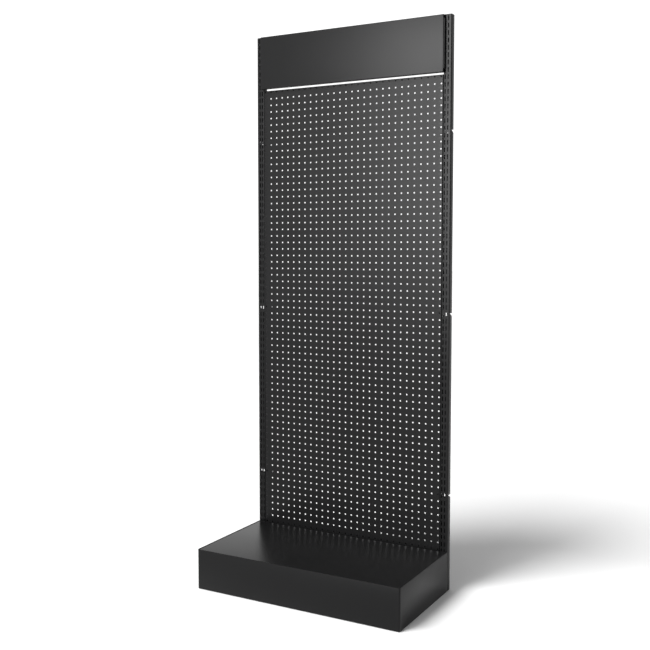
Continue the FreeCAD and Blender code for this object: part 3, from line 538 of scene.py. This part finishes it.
class BAY_OT_uprights(bpy.types.Operator):
    """Build both slotted uprights from one repeated slot cell"""

    bl_idname = "bay.uprights"
    bl_label = "Uprights"

    def execute(self, context):
        for side, sign in SIDES.items():
            piece = self.skin(context, side, sign)
            thicken(piece, context.scene.bay_upright.wall)
            self.cut_notches(context, piece, side)
            finish_mesh(piece, UPRIGHT_SMOOTH_ANGLE)
            install(piece, "frame", [f"upright_{side}"])
        return {"FINISHED"}

    def skin(self, context, side, sign):
        """The outer face of one upright: slotted front, bends, sides and rear."""
        sizes = context.scene.bay_upright
        low, high = UPRIGHT[side]
        front = low.y
        outer = high.x if sign > 0 else low.x
        inner = low.x if sign > 0 else high.x
        flat_outer = outer - sign * sizes.outer_bend
        flat_inner = inner + sign * sizes.inner_bend
        bottom = high.z - sizes.slots * sizes.pitch
        middle = Vector(((flat_outer + flat_inner) / 2, front, bottom + sizes.pitch / 2))

        deselect_all()
        bpy.ops.mesh.primitive_plane_add(size=1, location=middle, rotation=UPRIGHT_TO_FRONT)
        bpy.context.object.scale = (abs(flat_outer - flat_inner), sizes.pitch, 1)
        piece = begin(f"upright_sheet_{side}")
        bpy.ops.mesh.select_mode(type="FACE")
        bpy.ops.mesh.select_all(action="SELECT")
        bpy.ops.mesh.delete(type="ONLY_FACE")
        first_column = outer - sign * sizes.slot_inset
        for column in range(SLOT_COLUMNS):
            x = first_column - sign * column * sizes.slot_columns
            add_slot(piece, Vector((x, front, middle.z)), sizes.slot_width, sizes.slot_length)
        bpy.ops.mesh.select_mode(type="EDGE")
        bpy.ops.mesh.select_all(action="SELECT")
        bpy.ops.mesh.fill(use_beauty=True)
        face_front(piece)
        repeat(piece, "Slots", sizes.slots, (0, 0, sizes.pitch))
        bpy.ops.object.mode_set(mode="EDIT")
        select_where(piece, "EDGE", lambda point: abs(point.z - bottom) < NEAR)
        extrude(0, 0, low.z - bottom)

        rear = high.y
        rear_outer = self.fold(piece, flat_outer, sign, (sizes.outer_bend, sizes.inner_bend),
                               front, rear)
        rear_inner = self.fold(piece, flat_inner, -sign, (sizes.inner_bend, sizes.inner_bend),
                               front, rear)
        select_where(piece, "EDGE", lambda point: abs(point.x - rear_outer) < NEAR
                     and abs(point.y - rear) < NEAR)
        extrude(rear_inner - rear_outer, 0, 0)
        bpy.ops.mesh.select_all(action="SELECT")
        bpy.ops.mesh.remove_doubles(threshold=NEAR)
        return piece

    @staticmethod
    def fold(piece, edge_x, outwards_sign, bends, front, rear):
        """Carry one long edge of the front round both bends of a side wall; where it ends."""
        place = {"x": edge_x, "y": front}

        def move_edge(x, y):
            select_where(piece, "EDGE", lambda point: abs(point.x - place["x"]) < NEAR
                         and abs(point.y - place["y"]) < NEAR)
            extrude(x, y, 0)
            place["x"] += x
            place["y"] += y

        front_bend, rear_bend = bends
        for outwards, back in arc_steps(front_bend, OUTER_BEND_STEPS):
            move_edge(outwards_sign * outwards, back)
        move_edge(0, rear - rear_bend - place["y"])
        for back, inwards in arc_steps(rear_bend, REAR_BEND_STEPS):
            move_edge(-outwards_sign * inwards, back)
        return place["x"]

    @staticmethod
    def cut_notches(context, piece, side):
        """Cut the triangular hook notches, at the heights of the panel's hooks."""
        sizes = context.scene.bay_upright
        low, high = UPRIGHT[side]
        margin = NOTCH_CUT_MARGIN
        slope = sizes.notch_height / sizes.notch_depth
        for top in notch_tops(side):
            wedge_low = Vector((low.x - margin, high.y - sizes.notch_depth, top - sizes.notch_height
                                - slope * margin))
            wedge_high = Vector((high.x + margin, high.y + margin, top))
            wedge = add_box("notch_cutter", wedge_low, wedge_high)
            select_where(wedge, "VERT", lambda point: abs(point.y - wedge_low.y) < NEAR
                         and point.z < top - NEAR)
            bpy.ops.transform.translate(value=(0, 0, wedge_high.z - wedge_low.z))
            bpy.ops.mesh.select_all(action="SELECT")
            bpy.ops.mesh.remove_doubles(threshold=NEAR)
            bpy.ops.mesh.select_all(action="SELECT")
            bpy.ops.mesh.normals_make_consistent(inside=False)
            bpy.ops.object.mode_set(mode="OBJECT")
            apply_modifier(piece, "BOOLEAN", "Notch", operation="DIFFERENCE", solver="EXACT",
                           object=wedge)
            bpy.data.objects.remove(wedge)


def notch_tops(side):
    """The heights of the notches' level upper edges, from the hooks that sit in them."""
    node = frame["nodes"][f"panel_hooks_{side}"]
    heights = sorted({round(vertex.co.z, 4) for vertex in node.data.vertices})
    tops = []
    for height in heights:
        if not tops or height - tops[-1][0] > HOOK_SPACING:
            tops.append([height, height])
        tops[-1][1] = height
    return [high - HOOK_ABOVE_NOTCH for low, high in tops]


class BAY_OT_header(bpy.types.Operator):
    """Build the plain header as a folded tray"""

    bl_idname = "bay.header"
    bl_label = "Header"

    def execute(self, context):
        sizes = context.scene.bay_sheet
        low, high = HEADER
        piece = add_box("header_sheet", low, high)
        select_where(piece, "FACE", lambda point: abs(point.y - high.y) < NEAR)
        bpy.ops.mesh.delete(type="FACE")
        select_where(piece, "EDGE", lambda point: abs(point.y - low.y) < NEAR)
        bpy.ops.mesh.bevel(offset=sizes.thin_bend, segments=BEND_STEPS, profile=0.5)
        thicken(piece, sizes.thin_sheet)
        break_edges(piece, sizes.broken_edge)
        finish_mesh(piece)
        install(piece, "header", ["header_panel"])
        return {"FINISHED"}


class BAY_OT_base(bpy.types.Operator):
    """Build the base skirt and the lift-off deck"""

    bl_idname = "bay.base"
    bl_label = "Base"

    def execute(self, context):
        self.skirt(context)
        self.deck(context)
        return {"FINISHED"}

    @staticmethod
    def skirt(context):
        """Front and sides in one sheet, with a flange at each rear end."""
        sizes = context.scene.bay_sheet
        low, high = SKIRT
        piece = add_box("base_skirt_sheet", low, high)
        for axis, place in ((1, high.y), (2, low.z), (2, high.z)):
            select_where(piece, "FACE", lambda point: abs(point[axis] - place) < NEAR)
            bpy.ops.mesh.delete(type="ONLY_FACE")
        select_where(piece, "EDGE", lambda point: abs(point.y - low.y) < NEAR
                     and abs(abs(point.x) - high.x) < NEAR)
        bpy.ops.mesh.bevel(offset=sizes.skirt_bend, segments=OUTER_BEND_STEPS, profile=0.5)
        for sign in SIDES.values():
            select_where(piece, "EDGE", lambda point: abs(point.y - high.y) < NEAR
                         and abs(point.x - sign * high.x) < NEAR)
            extrude(-sign * sizes.end_flange, 0, 0)
        bpy.ops.mesh.select_all(action="SELECT")
        bpy.ops.mesh.normals_make_consistent(inside=False)
        select_where(piece, "EDGE", lambda point: abs(point.z - low.z) < NEAR
                     and abs(point.y - low.y) < NEAR)
        extrude(0, sizes.bottom_return, 0)
        thicken(piece, sizes.skirt_sheet)
        break_edges(piece, sizes.broken_edge)
        finish_mesh(piece)
        install(piece, "frame", ["base_skirt"])

    @staticmethod
    def deck(context):
        """A shallow tray turned upside down, with rounded corners and folds."""
        sizes = context.scene.bay_sheet
        low, high = DECK
        piece = add_box("base_deck_sheet", low, high)
        select_where(piece, "FACE", lambda point: abs(point.z - low.z) < NEAR)
        bpy.ops.mesh.delete(type="FACE")
        for x in (low.x, high.x):
            for y in (low.y, high.y):
                select_where(piece, "EDGE", lambda point: abs(point.x - x) < NEAR
                             and abs(point.y - y) < NEAR)
                bpy.ops.mesh.bevel(offset=sizes.deck_corner, segments=BEND_STEPS, profile=0.5)
        select_where(piece, "FACE", lambda point: abs(point.z - high.z) < NEAR)
        bpy.ops.mesh.region_to_loop()
        bpy.ops.mesh.bevel(offset=sizes.thin_bend, segments=BEND_STEPS, profile=0.5)
        thicken(piece, sizes.thin_sheet)
        break_edges(piece, sizes.broken_edge)
        finish_mesh(piece)
        install(piece, "deck", ["base_deck"])


class BAY_OT_fittings(bpy.types.Operator):
    """Finish the carried-over brackets, shoes, fasteners, caps and feet"""

    bl_idname = "bay.fittings"
    bl_label = "Fittings"

    def execute(self, context):
        finishes = {"panel_steel": "powder_coat", "frame_steel": "powder_coat",
                    "cap_plastic": "moulded_plastic", "foot_plastic": "moulded_plastic",
                    "zinc": "zinc_plate"}
        slots = {part["node"]: part["material_slot"] for part in frame["record"]["subparts"]}
        for node, piece in frame["nodes"].items():
            for slot in piece.material_slots:
                slot.material = finish(finishes[slots[node]])
        return {"FINISHED"}


# --- Stage ------------------------------------------------------------------

FLOOR_SIZE = 80
FLOOR_COLOUR = (0.88, 0.88, 0.88, 1)
OVERHEAD_FADE = {"start": (0.35, 0.75), "values": (1.0, 0.2)}
RIGHT_FADE = {"start": (-0.1, 0.35), "values": (1.2, 0.7)}
KEY = {"place": (-0.65, -4.0, 2.4), "aim": (0.1, 0.1, 1.7), "size": (2.2, 2.8), "power": 26,
       "spread": 50}
SUN = {"power": 3.1, "angle": 25, "direction": (0.4, 0.6, -1.0)}
CAMERA = {"place": (1.6075, -2.8786, 1.2363), "down": 3.74, "turn": 29.09, "lens": 51.7,
          "rise": -0.0277}


def add_holder(name, data, place=(0, 0, 0), direction=None):
    """Put a lamp or a camera in the scene, pointed along a direction if one is given."""
    holder = bpy.data.objects.new(name, data)
    bpy.context.scene.collection.objects.link(holder)
    holder.location = place
    if direction is not None:
        holder.rotation_euler = Vector(direction).to_track_quat("-Z", "Y").to_euler()
    return holder


class BAY_OT_stage(bpy.types.Operator):
    """Set up the pale floor, the soft lights and the camera"""

    bl_idname = "bay.stage"
    bl_label = "Stage"

    def execute(self, context):
        self.floor()
        self.world(context.scene)
        self.lights()
        self.camera(context.scene)
        return {"FINISHED"}

    @staticmethod
    def floor():
        """A plain pale floor."""
        deselect_all()
        bpy.ops.mesh.primitive_plane_add(size=FLOOR_SIZE, location=(0, 0, 0))
        floor = bpy.context.object
        floor.name = "studio_floor"
        material, nodes, links = new_material("studio_floor")
        shader = nodes["Principled BSDF"]
        shader.inputs["Base Color"].default_value = FLOOR_COLOUR
        shader.inputs["Roughness"].default_value = 1.0
        shader.inputs["Specular IOR Level"].default_value = 0.0
        floor.data.materials.append(material)

    @staticmethod
    def world(scene):
        """A white studio that darkens overhead and towards the bay's right."""
        world = bpy.data.worlds.new("studio")
        world.use_nodes = True
        nodes = world.node_tree.nodes
        links = world.node_tree.links
        background = nodes["Background"]
        place = nodes.new("ShaderNodeTexCoord")
        split = nodes.new("ShaderNodeSeparateXYZ")
        links.new(place.outputs["Generated"], split.inputs["Vector"])
        height = fade(nodes, links, split.outputs["Z"], **OVERHEAD_FADE)
        side = fade(nodes, links, split.outputs["X"], **RIGHT_FADE)
        both = nodes.new("ShaderNodeMath")
        both.operation = "MULTIPLY"
        links.new(height, both.inputs[0])
        links.new(side, both.inputs[1])
        links.new(both.outputs["Value"], background.inputs["Strength"])
        background.inputs["Color"].default_value = (1, 1, 1, 1)
        scene.world = world
        scene.view_settings.view_transform = "Standard"

    @staticmethod
    def lights():
        """A soft key from the front, and a soft sun that lights the floor."""
        key = bpy.data.lights.new("key_light", "AREA")
        key.shape = "RECTANGLE"
        key.size, key.size_y = KEY["size"]
        key.energy = KEY["power"]
        key.spread = math.radians(KEY["spread"])
        add_holder("key_light", key, KEY["place"], Vector(KEY["aim"]) - Vector(KEY["place"]))
        sun = bpy.data.lights.new("soft_sun", "SUN")
        sun.energy = SUN["power"]
        sun.angle = math.radians(SUN["angle"])
        add_holder("soft_sun", sun, direction=SUN["direction"])

    @staticmethod
    def camera(scene):
        """A nearly level view from the bay's right front."""
        lens = bpy.data.cameras.new("camera")
        lens.lens = CAMERA["lens"]
        lens.shift_y = CAMERA["rise"]
        lens.clip_end = FLOOR_SIZE
        holder = add_holder("camera", lens, CAMERA["place"])
        holder.rotation_euler = (math.radians(90 - CAMERA["down"]), 0,
                                 math.radians(CAMERA["turn"]))
        scene.camera = holder


# --- Panel and registration -------------------------------------------------

STEPS = (BAY_OT_pegboard, BAY_OT_uprights, BAY_OT_header, BAY_OT_base, BAY_OT_fittings,
         BAY_OT_stage)


class BAY_PT_tool_wall(bpy.types.Panel):
    """Lists every step of the build"""

    bl_idname = "BAY_PT_tool_wall"
    bl_label = "Tool Wall"
    bl_space_type = "VIEW_3D"
    bl_region_type = "UI"
    bl_category = "Tool Wall"

    def draw(self, context):
        for step in STEPS:
            self.layout.operator(step.bl_idname)


SETTINGS = {"bay_pegboard": PegboardSettings, "bay_upright": UprightSettings,
            "bay_sheet": SheetSettings, "bay_finish": FinishSettings}


def register():
    """Register the settings, the operators and the panel."""
    for name, group in SETTINGS.items():
        bpy.utils.register_class(group)
        setattr(bpy.types.Scene, name, bpy.props.PointerProperty(type=group))
    for step in STEPS + (BAY_PT_tool_wall,):
        bpy.utils.register_class(step)


def unregister():
    """Take everything away again."""
    for step in reversed(STEPS + (BAY_PT_tool_wall,)):
        bpy.utils.unregister_class(step)
    for name, group in reversed(list(SETTINGS.items())):
        delattr(bpy.types.Scene, name)
        bpy.utils.unregister_class(group)


def main():
    """Build everything in order."""
    register()
    bpy.ops.bay.pegboard()
    bpy.ops.bay.uprights()
    bpy.ops.bay.header()
    bpy.ops.bay.base()
    bpy.ops.bay.fittings()
    bpy.ops.bay.stage()


if __name__ == "__main__":
    main()
